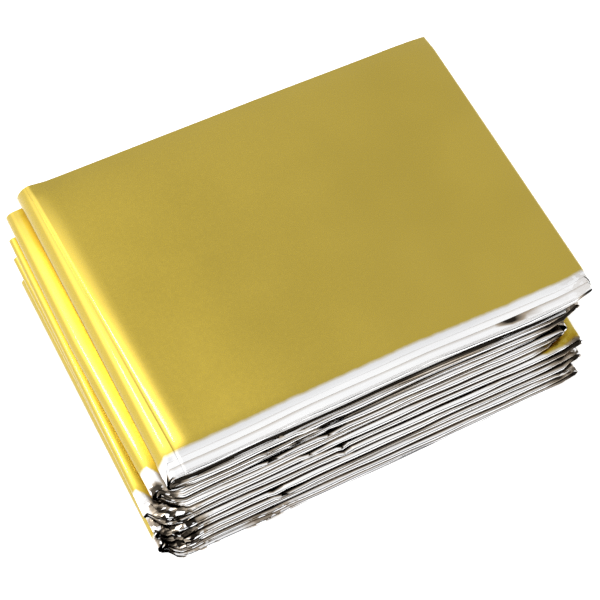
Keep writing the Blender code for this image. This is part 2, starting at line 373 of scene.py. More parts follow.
def layer_bottoms():
    """The height of each layer's underside before hollows and sinking."""
    bottoms = []
    height = 0.0
    for thickness in reversed(LAYER_THICKNESSES):
        bottoms.append(height)
        height += thickness + GAP
    return bottoms[::-1]


LAYER_BOTTOMS = layer_bottoms()


def level(number):
    """The middle height of a length."""
    length = LENGTHS[number - 1]
    top = LAYER_BOTTOMS[length.layer] + LAYER_THICKNESSES[length.layer]
    return top - PLEATED * (length.place + 0.5)


def lift(layer, x, y):
    """How far the hollows below a layer raise it at a point."""
    fade = (HOLLOW_FADE_BACK - y) / (HOLLOW_FADE_BACK - HOLLOW_FADE_FRONT)
    towards_front = mix(HOLLOW_AT_BACK, 1.0, ease(fade))
    raised = np.zeros_like(x)
    for hollow in HOLLOWS:
        from_centre = np.clip(np.abs(x - hollow.centre) / hollow.reach, 0, 1)
        held = np.clip(hollow.under - layer + 1, 0, 1)
        raised += held * hollow.height * np.cos(from_centre * math.pi / 2) ** 2
    return raised * towards_front


def crease_share(y):
    """How far along the crease a point lies, 0 at the back and 1 at the front."""
    top = LENGTHS[0]
    return np.clip((top.back - y) / (top.back - top.front), 0, 1)


def left_bend(x, y):
    """The share of the left drop at a point: a soft bend up to the crease and a steeper one beyond it."""
    depth_share = crease_share(y)
    crease = mix(CREASE_BACK, CREASE_FRONT, depth_share)
    at_crease = mix(BEND_SHARE_BACK, BEND_SHARE_FRONT, depth_share**BEND_RISE)
    steepness = mix(STEEPNESS_BACK, STEEPNESS_FRONT, depth_share)
    before = at_crease * np.clip((crease + BEND_REACH - x) / BEND_REACH, 0, 1) ** BEND_POWER
    beyond = np.clip((crease - x) / (crease - LEFT_END), 0, 1)
    steep = steepness * beyond - (steepness - 1) * beyond**2
    return before + (1 - at_crease) * steep


def groove(x, y):
    """The depth of the crease's own groove at a point."""
    depth_share = crease_share(y)
    crease = mix(CREASE_BACK, CREASE_FRONT, depth_share)
    return mix(GROOVE_BACK, GROOVE_FRONT, depth_share) * np.clip(1 - np.abs(x - crease) / GROOVE_HALF, 0, 1)


def sink(x, y):
    """The share of its height that the pile loses near its edges."""
    front = FRONT_DROP * ease((FRONT_DROP_FROM - y) / FRONT_DROP_REACH)
    left = LEFT_DROP * left_bend(x, y) + OUTER_DROP * np.clip((LEFT_END - x) / OUTER_REACH, 0, 1)
    right = RIGHT_DROP * ease((x - RIGHT_DROP_FROM) / RIGHT_DROP_REACH)
    back = BACK_DROP * ease((y - BACK_DROP_FROM) / BACK_DROP_REACH)
    return 1 - (1 - front) * (1 - left) * (1 - right) * (1 - back)


# One cut across the strip. x_back and x_front are the strip's middle line at its two edges, z its height
# before the pile's own shape, (nx, nz) the side on which the last leaf lies. outward is 1 where that side
# looks up, or out of a turn, and -1 where it looks down or in. layer and number are those of the length,
# blended round a turn. flat is 1 on a length and 0 in a turn, shell is 0 in a turn inside another. middle is
# the middle height of the nearest nose's bundle, pinched how far that nose's pinch reaches here, and end
# how near the nose is, 1 in the turn itself.
Station = namedtuple(
    "Station", "x_back x_front z nx nz outward layer number back front flat shell middle pinched end"
)


def bundle_radius(outside):
    """Half the height of a bundle of lengths."""
    high, low = outside
    return (level(high) - level(low) + PLEATED) / 2


def bundle_middle(outside):
    """The middle height of a bundle of lengths."""
    return (level(outside[0]) + level(outside[1])) / 2


def turn_radius(turn):
    """The radius of a turn's middle line."""
    return abs(level(turn.first) - level(turn.second)) / 2


def turn_centres(turn):
    """The x of a turn's axis at the back and at the front."""
    inset = turn.side * bundle_radius(turn.outside)
    return turn.nose_back - inset, turn.nose_front - inset


def side_turns(number):
    """The turns at a length's left and right end, None where the strip itself ends."""
    ends = {turn.side: turn for turn in TURNS if number in (turn.first, turn.second)}
    return ends.get(-1), ends.get(1)


def end_xs(number):
    """The x of a length's left and right end, each at the back and the front."""
    left, right = side_turns(number)
    return turn_centres(left), turn_centres(right) if right else LOOSE_ENDS[number]


def front_edge(number, x):
    """The y of a length's front folds at x."""
    left, right = side_turns(number)
    from_left = np.clip((x - turn_centres(left)[1]) / left.blend, 0, 1)
    y = LENGTHS[number - 1].front + left.recess * (1 - from_left) ** 2
    if right:
        y = y + right.recess * (1 - ease((turn_centres(right)[1] - x) / right.blend))
    return y + FRONT_WAVE * wave(x / 1.7, number * 0.9)


def end_fade(number, x):
    """1 along a length, falling to 0 at its two ends."""
    left, right = end_xs(number)
    return ease((x - left[1]) / END_FADE) * ease((right[1] - x) / END_FADE)


def dent_share(number, x):
    """How far down a length's front edge is dented at x, 1 at the middle of a full dent."""
    share = np.zeros_like(x)
    for dent in DENTS:
        if dent.length == number:
            reach = np.where(x < dent.x, dent.left, dent.right)
            share = np.maximum(share, dent.depth * np.clip(1 - np.abs(x - dent.x) / reach, 0, 1))
    return share


def wedge_share(x):
    """How much painted shade the step in the top length gets at x."""
    marks = (WEDGE_START, WEDGE_DARKEST, WEDGE_END) + WEDGE_TAIL_END
    return np.interp(x, marks, (0.0, 1.0, WEDGE_TAIL, WEDGE_TAIL, 0.0))


def lip_reach(number, x):
    """How far a length's lip stands out over its folds at x."""
    if number == 1:
        return TOP_LIP + TOP_LIP_WAVE * wave(x, 1.3)
    return (LENGTHS[number - 1].lip + LIP_WAVE * wave(x, number * 1.3)) * end_fade(number, x)


def lip_droop(number, x):
    """How far a length's lip hangs at x. It is drawn up over a dent in the length below."""
    below = dent_share(number + 1, x)
    hang = LENGTHS[number - 1].droop * (1 + DROOP_WAVE * wave(x, number * 2.1)) * end_fade(number, x)
    most = DROOP_MOST[LENGTHS[number - 1].place]
    return np.clip(hang * (1 - np.clip(below, 0, 1) * DENT_OPENS), 0, most)


def turn_stations(turn):
    """The stations round a turn, from its first length to its second."""
    radius = turn_radius(turn)
    down = 1 if level(turn.first) > level(turn.second) else -1
    middle = (level(turn.first) + level(turn.second)) / 2
    at_back, at_front = turn_centres(turn)
    fronts = [float(front_edge(n, np.array(at_front))) for n in (turn.first, turn.second)]
    shell = float(abs(radius + PLEATED / 2 - bundle_radius(turn.outside)) < PLEATED / 4)
    outward = -turn.side * down
    stations = []
    for step in range(TURN_STEPS + 1):
        share = step / TURN_STEPS
        angle = math.pi * share
        out_x = turn.side * math.sin(angle)
        out_z = down * math.cos(angle)
        stations.append(
            Station(
                x_back=at_back + radius * out_x,
                x_front=at_front + radius * out_x,
                z=middle + radius * out_z,
                nx=outward * out_x,
                nz=outward * out_z,
                outward=outward,
                layer=mix(LENGTHS[turn.first - 1].layer, LENGTHS[turn.second - 1].layer, share),
                number=mix(turn.first, turn.second, share),
                back=turn.back,
                front=mix(fronts[0], fronts[1], share),
                flat=0.0,
                shell=shell,
                middle=bundle_middle(turn.outside),
                pinched=turn.pinch,
                end=1.0,
            )
        )
    return stations


def length_cuts(number):
    """Where a length is cut, as pairs of x at the back and at the front, from left to right."""
    left, right = end_xs(number)
    along = lambda share: (mix(left[0], right[0], share), mix(left[1], right[1], share))
    share_at = lambda x: (x - left[1]) / (right[1] - left[1])
    shares = set(LENGTH_SHARES)
    if number >= CORNER_FROM:
        shares |= {share_at(x) for x in CORNER_XS if share_at(x) > LEAST_CUT}
    for dent in DENTS:
        if dent.length == number:
            shares |= {share_at(dent.x - dent.left), share_at(dent.x), share_at(dent.x + dent.right)}
    if number > 1:
        return [along(share) for share in sorted(shares)]
    crease = (CREASE_BACK, CREASE_FRONT)
    cuts = [tuple(mix(l, c, share) for l, c in zip(left, crease)) for share in CREASE_TO_NOSE]
    cuts += [(crease[0] + offset, crease[1] + offset) for offset in CREASE_OFFSETS[::-1]]
    clear = cuts[-1][1] + CREASE_CLEAR
    return cuts + [along(share) for share in sorted(shares) if along(share)[1] > clear]


def length_stations(number, goes_left):
    """The stations on the flat of a length."""
    length = LENGTHS[number - 1]
    left_turn, right_turn = side_turns(number)
    left, right = end_xs(number)
    up = 1 if goes_left else -1
    stations = []
    for x_back, x_front in length_cuts(number):
        back = mix(left_turn.back, length.back, ease((x_back - left[0]) / END_BLEND))
        if right_turn:
            back = mix(right_turn.back, back, ease((right[0] - x_back) / END_BLEND))
        front = float(front_edge(number, np.array(x_front)))
        nearest = left_turn if right_turn is None or x_front < (left[1] + right[1]) / 2 else right_turn
        end = float(ease(1 - abs(x_front - turn_centres(nearest)[1]) / PINCH_REACH))
        stations.append(
            Station(
                x_back=x_back,
                x_front=x_front,
                z=level(number),
                nx=0.0,
                nz=up,
                outward=up,
                layer=length.layer,
                number=number,
                back=back,
                front=front,
                flat=1.0,
                shell=1.0,
                middle=bundle_middle(nearest.outside),
                pinched=nearest.pinch * end,
                end=end,
            )
        )
    return stations[::-1] if goes_left else stations


def strip_stations():
    """Every station of the strip from its upper end to its lower end."""
    path = length_stations(TURNS[0].first, True)
    for turn in TURNS:
        path += turn_stations(turn)
        path += length_stations(turn.second, turn.side > 0)
    return path


# One row across the sheet: the leaf that it lies on, the part of the leaf, and how far along that part
Row = namedtuple("Row", "leaf kind at")


def sheet_rows():
    """The rows from one cut edge to the other. kind is hang, bend, flat, fold or back.

    at is a share on the hang and the bend, and a distance on the flat.
    """
    def outer(leaf):
        rows = [Row(leaf, "hang", share) for share in LIP_SHARES]
        rows += [Row(leaf, "bend", share) for share in LIP_BEND]
        rows += [Row(leaf, "flat", at) for at in OUTER_ROWS]
        return rows

    rows = outer(0)
    for leaf in range(1, LEAVES - 1):
        rows.append(Row(leaf - 0.5, "back" if leaf % 2 else "fold", 0.0))
        inner = [Row(leaf, "flat", at) for at in INNER_ROWS]
        rows += inner[::-1] if leaf % 2 else inner
    rows.append(Row(LEAVES - 1.5, "back", 0.0))
    rows += outer(LEAVES - 1)[::-1]
    return rows


class Strip:
    """The strip's stations as arrays, with what the lips and neighbours of each length do there."""

    def __init__(self, stations):
        for name in Station._fields:
            setattr(self, name, np.array([getattr(station, name) for station in stations], float))
        self.near = np.rint(self.number).astype(int)
        numbers = range(1, len(LENGTHS) + 1)
        margin = np.interp(self.number, numbers, [length.margin for length in LENGTHS])
        bare = np.interp(self.number, numbers, [length.bare for length in LENGTHS])
        self.margin = mix(margin, bare, ease((self.x_front - BARE_FROM) / BARE_REACH))
        on_left = ease((LEFT_MARGIN_FROM - self.x_front) / LEFT_MARGIN_REACH)
        self.margin = self.margin + LEFT_MARGIN * on_left * (self.number <= LEFT_MARGIN_LAST)
        self.nose_lip = np.interp(self.number, (1, 2, len(LENGTHS)), (TOP_LIP, NOSE_LIP, NOSE_LIP))
        bowed = (self.number >= BOW_LENGTHS[0]) & (self.number <= BOW_LENGTHS[1])
        self.bow = BOW * bowed * ease((BOW_FROM - self.x_front) / BOW_REACH)
        self.top_share = np.clip(2 - self.number, 0, 1)
        shape = self.number.shape
        self.lip, self.droop, self.dent, self.fade = (np.zeros(shape) for _ in range(4))
        for number in range(1, len(LENGTHS) + 1):
            here = (self.near == number) & (self.flat > 0)
            x = self.x_front[here]
            self.lip[here] = lip_reach(number, x)
            self.droop[here] = lip_droop(number, x)
            self.dent[here] = dent_share(number, x)
            self.fade[here] = end_fade(number, x)

    def shade_from_above(self, x, y, silver):
        """The painted shade that the lengths above put on each point, 0 in the open and 1 well under them.
        """
        painted_shade = np.zeros_like(x)
        for number in range(2, len(LENGTHS) + 1):
            here = (self.near == number) & (self.flat > 0)
            above = LENGTHS[number - 2]
            left, right = side_turns(number - 1)
            at_x, at_y = x[here], y[here]
            depth_share = np.clip((above.back - at_y) / (above.back - above.front), 0, 1)
            nose_left = mix(left.nose_back, left.nose_front, depth_share)
            ends = (right.nose_back, right.nose_front) if right else LOOSE_ENDS[number - 1]
            nose_right = mix(ends[0], ends[1], depth_share)
            lip_y = front_edge(number - 1, at_x) - np.maximum(lip_reach(number - 1, at_x), 0)
            shade = LENGTHS[number - 1].shade
            if number > 2:
                shade = shade + RIGHT_SHADE * ease((at_x - RIGHT_SHADE_FROM) / RIGHT_SHADE_REACH)
            behind_lip = (at_y - lip_y + shade) / (COVER_REACH + SHADE_SOFTNESS * np.maximum(shade, 0))
            beside = np.min([at_x - nose_left, nose_right - at_x, above.back - at_y], axis=0)
            under = ease(np.minimum(behind_lip, (beside + COVER_BESIDE) / COVER_REACH))
            beside_nose = NOSE_SHADE * np.clip(1 + (at_x - nose_left) / NOSE_SHADE_REACH, 0, 1)
            beside_nose = beside_nose * np.where(silver[here] > 0, NOSE_SHADE_BARE, 1.0)
            painted_shade[here] = np.maximum(under, beside_nose * ease(behind_lip / 4))
        return painted_shade


def lip_row(strip, row, edge, up):
    """The y, the fall and the distance along the film of a row on one of the two outer leaves."""
    down = np.where(up > 0, strip.droop, 0.0)
    radius = np.clip(down, LIP_LEAST, LIP_RADIUS)
    hang = np.maximum(down - radius, 0)
    if row.kind == "hang":
        return edge, mix(down, radius, row.at), hang * row.at
    if row.kind == "bend":
        angle = row.at * math.pi / 2
        return edge + radius * (1 - math.cos(angle)), radius * (1 - math.sin(angle)), hang + radius * angle
    return edge + radius + row.at, np.zeros_like(edge), hang + radius * math.pi / 2 + row.at


def build_points(stations, rows):
    """The grid of points, how far inside the silver area each lies, how much painted shade each gets under
    other film, and how much painted shade and relief its crumpled facets get.
    """
    strip = Strip(stations)
    points = np.zeros((len(rows), len(stations), 3))
    silver = np.zeros(points.shape[:2])
    painted_shade = np.zeros(points.shape[:2])
    crumple_shade_and_relief = np.zeros(points.shape[:2])
    for i, row in enumerate(rows):
        away = (row.leaf - (LEAVES - 1) / 2) * LEAF_STEP
        out = strip.outward * np.sign(away)  # 1 on the half of the leaves that looks up, or out of a turn
        upper = row.leaf in (0, LEAVES - 1)
        stack_share = out * abs(away) / (LEAF_STEP * LEAVES / 2)
        edge = strip.front - LEAN * (1 - stack_share) * strip.flat
        edge = edge + LEAF_WAVE * wave(strip.x_front, row.leaf * 3.1 + strip.number) * (1 - strip.end)
        from_top = (LEAVES - 1) / 2 - out * abs(away) / LEAF_STEP  # 0 on the uppermost leaf
        edge = edge + SECOND_STEP * strip.top_share * ((from_top > 0.5) & (from_top < 2.5))
        fall = np.zeros(len(stations))
        lip = np.where(strip.flat > 0, strip.lip, strip.nose_lip)
        if upper:
            y, fall, along = lip_row(strip, row, edge - np.where(out > 0, lip, -UNDER_LIP), out)
            silver[i] = strip.margin - along
        else:
            along = row.at if row.kind == "flat" else (LEAF_DEPTH if row.kind == "back" else 0.0)
            y = strip.back if row.kind == "back" else edge + along
            silver[i] = INSIDE_SHOWS - along
        if row.kind == "flat":
            # beyond the front stretch the rows spread between it and the leaf's own back edge
            share = np.clip((row.at - FRONT_STRETCH) / (LEAF_DEPTH - FRONT_STRETCH), 0, 1)
            y = mix(y, strip.back - (LEAF_DEPTH - row.at), share)
        over_back = (min(row.leaf, LEAVES - 1 - row.leaf) < 1.1) & (out > 0)
        hang_back = np.zeros(len(stations))
        if row.kind == "back":
            y = y + BACK_OUT * over_back
            hang_back = BACK_HANG * over_back
        elif row.kind == "flat" and row.at == INNER_ROWS[-1]:
            y = y + BACK_TURN[int(upper)] * over_back
        from_edge = np.minimum(along, LEAF_DEPTH - along) + np.zeros(len(stations))
        at_back = along > LEAF_DEPTH / 2
        # painted shade on each leaf: bright for a width along its front edge and back fold, darker further
        # in
        open_width = np.full(len(stations), EDGE_OPEN)
        step = SECOND_STEP * strip.top_share
        wedge = np.where(strip.flat > 0, wedge_share(strip.x_front), 0.0)
        for leaf, opened in ((1, STEP_OPEN - lip - step), (3, (1 - wedge) * step)):
            widened = np.maximum(open_width, opened * strip.shell)
            open_width = np.where(from_top == leaf, widened, open_width)
        painted_shade[i] = ease((from_edge - np.where(at_back, BACK_OPEN, open_width)) / EDGE_FADE)
        # painted shade on the folds near the ends of the lengths
        if not upper:
            tip = TIP_SHADE * strip.end * np.clip(1 - from_edge / TIP_REACH, 0, 1) * (strip.number > 1.5)
            painted_shade[i] = np.maximum(painted_shade[i], tip * (from_top > 1.2))
        # painted shade on the folds at the right ends, and at the left ends of the lower lengths
        dark_end = np.where(strip.x_front > 0, strip.number > 1.3, strip.number > DARK_LEFT_FROM)
        dark_end = dark_end * strip.end * (from_top > 0.5)
        reach = np.where(strip.x_front > 0, RIGHT_TIP_REACH, LEFT_TIP_REACH)
        painted_shade[i] = np.maximum(painted_shade[i], dark_end * np.clip(1.5 - from_edge / reach, 0, 1))
        depth_share = (strip.back - y) / (strip.back - strip.front)
        away_back = away - hang_back * np.sign(away)
        x = mix(strip.x_back, strip.x_front, depth_share) + away_back * strip.nx
        x = x + strip.bow * BOW_SHAPE * (depth_share - depth_share**3)
        if upper:
            # painted shade on the outer leaves: under and beside the length above, on a lip's hanging face
            # and in a dent
            from_above = np.where(strip.flat > 0, strip.shade_from_above(x, y, silver[i]), 0.0)
            if row.kind == "hang":
                lip_shade = LIP_SHADE * (1 - row.at) ** 2 * strip.fade * (strip.near > 1)
                from_above = np.maximum(from_above, lip_shade)
            if row.kind == "flat" and DENT_DARK_FROM <= row.at <= DENT_DARK_TO:
                from_above = np.maximum(from_above, ease(DENT_DARKNESS * strip.dent - DENT_LIGHT))
            painted_shade[i] = np.where((out > 0) & (strip.shell > 0), from_above, painted_shade[i])
        z = strip.z + away_back * strip.nz
        near_front = np.clip(1 - (y - strip.front) / DENT_DEPTH, 0, 1)
        z = z - strip.dent * DENT_FALL * near_front * np.clip(0.5 + out * abs(away) / PLEATED, 0, 1)
        z = z - strip.flat * groove(x, y) * (strip.near == 1)
        near_edge = ease(1 - (y - strip.front) / PINCH_DEPTH)
        z = mix(z, strip.middle, strip.pinched * near_edge)
        z = z + lift(strip.layer, x, y)
        z = z * (1 - sink(x, y)) - fall
        points[i] = np.stack([x, y, z], 1)
    crumple(points, crumple_shade_and_relief, rows, strip)
    lay_outer_rows(points, rows, strip)
    points[:, :, 2] = np.maximum(points[:, :, 2], LOWEST)
    return points, silver, painted_shade, crumple_shade_and_relief


def lay_outer_rows(points, rows, strip):
    """Lays each outer leaf a step above the leaf beside it, wherever that one lies under it.

    Only the top of the pile keeps its own smooth and slightly wavy shape, a little above that.
    """
    for leaf, beside, side in ((0, 1, -1), (LEAVES - 1, LEAVES - 2, 1)):
        own = [i for i, row in enumerate(rows) if row.leaf == leaf]
        under = [i for i, row in enumerate(rows) if abs(row.leaf - beside) < 0.6 and row.kind != "back"]
        under.sort(key=lambda i: points[i, 0, 1])
        top = (strip.near == 1) & (strip.flat > 0) & ((strip.outward > 0) == (leaf > 0))
        offset = side * LEAF_STEP * np.stack([strip.nx, 0 * strip.nx, strip.nz], 1)
        offset = offset * (1 + TURN_CLEAR * strip.top_share * (1 - strip.flat))[:, None]
        for i in own:
            laid = points[i].copy()
            for j in range(points.shape[1]):
                y = points[i, j, 1]
                if y > points[under[0], j, 1]:
                    laid[j, 0] = np.interp(y, points[under, j, 1], points[under, j, 0])
                    laid[j, 2] = np.interp(y, points[under, j, 1], points[under, j, 2])
                    laid[j] += offset[j]
            x, y, z = points[i].T
            from_back = np.abs(strip.back - y - BACK_CREASE)
            z = z - BACK_CREASE_DEPTH * np.clip(1 - from_back / BACK_CREASE_HALF, 0, 1)
            wavy = laid[:, 2]
            if rows[i].kind == "flat" and rows[i].at >= INNER_ROWS[0]:
                wavy = np.maximum(z, laid[:, 2] + TOP_CLEAR) + top_waves(x, y) * strip.fade
            points[i, :, 0] = np.where(top, points[i, :, 0], laid[:, 0])
            points[i, :, 2] = np.where(top, wavy, laid[:, 2])


def top_waves(x, y):
    """The top leaf's soft waves: low swells that run in from its left and back edges."""
    swell = np.zeros_like(x)
    for place in SWELLS:
        turn_x, turn_y = math.cos(math.radians(place.heading)), math.sin(math.radians(place.heading))
        along = (x - place.x) * turn_x + (y - place.y) * turn_y
        across = (y - place.y) * turn_x - (x - place.x) * turn_y
        swell += place.height * np.exp(-((along / place.length) ** 2) - (across / place.width) ** 2)
    return swell


def crumple(points, crumple_shade_and_relief, rows, strip):
    """Shifts the front rows about where the film is crumpled, a few leaves and stations together, and sets
    how much painted shade and facet relief the crumpled film gets.
    """
    chance = np.random.default_rng(CRUMPLE_SEED)
    wide = points.shape[1]
    across = np.clip([row.leaf for row in rows], 1, LEAVES - 2) / (LEAVES - 1) * (CRUMPLE_KNOTS - 1)
    along = np.arange(wide) / CRUMPLE_STRIDE
    for place in CRUMPLES:
        knots = chance.uniform(-1, 1, (CRUMPLE_KNOTS, wide // CRUMPLE_STRIDE + 2, 3))
        low, left = np.floor(across).astype(int), np.floor(along).astype(int)
        high = np.minimum(low + 1, CRUMPLE_KNOTS - 1)
        up, right = (across - low)[:, None, None], (along - left)[None, :, None]
        lower = mix(knots[low][:, left], knots[low][:, left + 1], right)
        upper = mix(knots[high][:, left], knots[high][:, left + 1], right)
        shift = mix(lower, upper, up)
        here = (strip.number >= place.first - 0.1) & (strip.number <= place.last + 0.1)
        weight = np.clip(1.5 - 1.5 * np.abs(strip.x_front - place.x) / place.reach, 0, 1) * here
        for i, row in enumerate(rows):
            from_front = row.at if row.kind == "flat" else 0.0
            hold = np.clip(1 - from_front / CRUMPLE_DEPTH, 0, 1) if row.kind != "back" else 0.0
            points[i] += shift[i] * np.array(CRUMPLE_SIZE) * place.size * hold * weight[:, None]
            reached = np.clip(2 - 2 * from_front / place.deep, 0, 1) if row.kind != "back" else 0.0
            blot = place.blot * np.clip(2 * reached * weight, 0, 1)
            crumple_shade_and_relief[i] = np.maximum(crumple_shade_and_relief[i], blot)


def sharpen_crease(mesh, stations, wide):
    """Makes the two edges of the groove along the crease sharp."""
    folds = (CREASE_FRONT, CREASE_FRONT - GROOVE_HALF)
    xs = np.array([station.x_front for station in stations])
    from_fold = np.min([np.abs(xs - fold) for fold in folds], axis=0)
    columns = np.flatnonzero(from_fold < SAME_PLACE)
    ends = np.zeros(2 * len(mesh.edges), int)
    mesh.edges.foreach_get("vertices", ends)
    ends = ends.reshape(-1, 2)
    along = (np.abs(ends[:, 0] - ends[:, 1]) == wide) & np.isin(ends[:, 0] % wide, columns)
    sharp = mesh.attributes.get("sharp_edge") or mesh.attributes.new("sharp_edge", "BOOLEAN", "EDGE")
    values = np.zeros(len(mesh.edges), bool)
    sharp.data.foreach_get("value", values)
    sharp.data.foreach_set("value", values | along)


def blanket_mesh():
    stations = strip_stations()
    rows = sheet_rows()
    points, silver, painted_shade, crumple_shade_and_relief = build_points(stations, rows)
    points[:, :, 0] -= BOX_MIDDLE[0]
    points[:, :, 1] -= BOX_MIDDLE[1]
    high, wide = silver.shape
    ids = np.arange(high * wide).reshape(high, wide)
    faces = np.stack([ids[:-1, :-1], ids[:-1, 1:], ids[1:, 1:], ids[1:, :-1]], -1).reshape(-1, 4)
    mesh = bpy.data.meshes.new("blanket_film")
    mesh.from_pydata((points.reshape(-1, 3) * MM).tolist(), [], faces.tolist())
    for name, values in (("silver_mm", silver), ("painted_shade", painted_shade), ("crumple_shade_and_relief", crumple_shade_and_relief)):
        layer = mesh.attributes.new(name, "FLOAT", "POINT")
        layer.data.foreach_set("value", values.reshape(-1).astype(np.float32))
    mesh.shade_smooth()
    mesh.set_sharp_from_angle(angle=SHARP_ANGLE)
    sharpen_crease(mesh, stations, wide)
    return mesh


def film_material():
    """Metallised film: satin gold lacquer with a bare silver border, with painted shade where it lies under
    the pile and on its crumpled facets.
    """
    material = bpy.data.materials.new("gold_film")
    material.use_nodes = True
    nodes, links = material.node_tree.nodes, material.node_tree.links
    shader = nodes["Principled BSDF"]
    shader.inputs["Metallic"].default_value = 1.0
    place = nodes.new("ShaderNodeTexCoord")

    def attribute(name):
        node = nodes.new("ShaderNodeAttribute")
        node.attribute_name = name
        return node.outputs["Fac"]

    def remap(value, from_min, from_max, to_min=0.0, to_max=1.0):
        node = nodes.new("ShaderNodeMapRange")
        names = ("From Min", "From Max", "To Min", "To Max")
        for name, number in zip(names, (from_min, from_max, to_min, to_max)):
            node.inputs[name].default_value = number
        links.new(value, node.inputs["Value"])
        return node.outputs["Result"]

    def grain(scale, detail, stretch=(1, 1, 1)):
        mapping = nodes.new("ShaderNodeMapping")
        mapping.inputs["Scale"].default_value = stretch
        links.new(place.outputs["Object"], mapping.inputs["Vector"])
        node = nodes.new("ShaderNodeTexNoise")
        node.inputs["Scale"].default_value = scale
        node.inputs["Detail"].default_value = detail
        links.new(mapping.outputs["Vector"], node.inputs["Vector"])
        return node.outputs["Fac"]

    def calculate(operation, first, second):
        node = nodes.new("ShaderNodeMath")
        node.operation = operation
        for value, socket in zip((first, second), node.inputs):
            if isinstance(value, float):
                socket.default_value = value
            else:
                links.new(value, socket)
        return node.outputs["Value"]

    def blend(factor, first, second, kind="RGBA", mode="MIX"):
        node = nodes.new("ShaderNodeMix")
        node.data_type = kind
        node.blend_type = mode
        wanted = "RGBA" if kind == "RGBA" else "VALUE"
        sockets = [s for s in node.inputs if s.type == wanted and s.name in "AB"]
        if isinstance(factor, float):
            node.inputs["Factor"].default_value = factor
        else:
            links.new(factor, node.inputs["Factor"])
        for value, socket in zip((first, second), sockets):
            if isinstance(value, (float, tuple)):
                socket.default_value = value
            else:
                links.new(value, socket)
        return next(s for s in node.outputs if s.type == sockets[0].type)

    facets = nodes.new("ShaderNodeTexVoronoi")
    facets.inputs["Scale"].default_value = FACET_SCALE
    spread = nodes.new("ShaderNodeMapping")
    spread.inputs["Scale"].default_value = FACET_STRETCH
    links.new(place.outputs["Object"], spread.inputs["Vector"])
    links.new(spread.outputs["Vector"], facets.inputs["Vector"])
    channels = nodes.new("ShaderNodeSeparateColor")
    links.new(facets.outputs["Color"], channels.inputs["Color"])
    # painted shade on crumpled film: random facets are darkened, standing in for facets that look away from
    # the light
    painted_facet_shade = calculate("MULTIPLY", remap(channels.outputs["Red"], *FACETS_DARK), attribute("crumple_shade_and_relief"))
    painted_shade = calculate("MAXIMUM", attribute("painted_shade"), painted_facet_shade)
    wander = remap(grain(*RAGGED_EDGE), 0, 1, -BORDER_WANDER, BORDER_WANDER)
    ragged = calculate("ADD", attribute("silver_mm"), wander)
    border = remap(ragged, -BORDER_SOFT, BORDER_SOFT)
    gold = blend(remap(grain(*CLOUDS), *NOISE_SPAN), GOLD_DEEP, GOLD_PALE)
    streaks = grain(*STREAKS, SILVER_STRETCH)
    silver = blend(remap(streaks, *NOISE_SPAN), SILVER_DULL, SILVER_BRIGHT)
    dull = remap(attribute("silver_mm"), 0.0, DULL_REACH, SILVER_DULL_EDGE, 1.0)
    silver = blend(1.0, silver, dull, mode="MULTIPLY")
    # painted shade: silver darkens through brown to black and gold towards deep orange where the film is
    # covered
    shade_ramp = nodes.new("ShaderNodeValToRGB")
    shade_ramp.color_ramp.elements[0].color = (1, 1, 1, 1)
    shade_ramp.color_ramp.elements[1].position = SHADE_BLACK_AT
    shade_ramp.color_ramp.elements[1].color = SHADE_BLACK
    middle = shade_ramp.color_ramp.elements.new(SHADE_BROWN_AT)
    middle.color = SHADE_BROWN
    links.new(painted_shade, shade_ramp.inputs["Fac"])
    gold = blend(painted_shade, gold, GOLD_IN_SHADE)
    silver = blend(1.0, silver, shade_ramp.outputs["Color"], mode="MULTIPLY")
    links.new(blend(border, gold, silver), shader.inputs["Base Color"])
    # the coat fades out under the painted shade
    open_share = remap(painted_shade, 0, COVERED_COAT, 1.0, 0.0)
    coat = calculate("MULTIPLY", remap(border, 0, 1, GOLD_COAT, 0.0), open_share)
    links.new(coat, shader.inputs["Coat Weight"])
    shader.inputs["Coat Roughness"].default_value = COAT_ROUGHNESS

    satin_ends = (GOLD_ROUGHNESS - SATIN_SPREAD, GOLD_ROUGHNESS + SATIN_SPREAD)
    satin = remap(grain(*SATIN), *ROUGHNESS_SPAN, *satin_ends)
    bright_ends = (SILVER_ROUGHNESS - SILVER_SMOOTHER, SILVER_ROUGHNESS + SILVER_ROUGHER)
    bright = remap(streaks, *ROUGHNESS_SPAN, *bright_ends)
    links.new(blend(border, satin, bright, kind="FLOAT"), shader.inputs["Roughness"])

    fine = calculate("MULTIPLY", grain(*FINE_RELIEF), FINE_HEIGHT)
    wide = calculate("MULTIPLY", grain(*WIDE_RELIEF), WIDE_HEIGHT)
    relief = calculate("ADD", fine, wide)
    lines = calculate("MULTIPLY", grain(*RAGGED_EDGE, SILVER_STRETCH), LINE_HEIGHT)
    facet_depth = calculate("MULTIPLY", facets.outputs["Distance"], attribute("crumple_shade_and_relief"))
    lines = calculate("ADD", lines, calculate("MULTIPLY", facet_depth, FACET_RELIEF))
    bump = nodes.new("ShaderNodeBump")
    bump.inputs["Strength"].default_value = RELIEF_STRENGTH
    bump.inputs["Distance"].default_value = RELIEF_DEPTH
    links.new(blend(border, relief, lines, kind="FLOAT"), bump.inputs["Height"])
    links.new(bump.outputs["Normal"], shader.inputs["Normal"])
    return material


# The floor: half its size in metres, and how bright it is
FLOOR_HALF = 3.0
FLOOR_GREY = 0.9
FLOOR_ROUGHNESS = 0.9
FLOOR_GLOW = 0.55


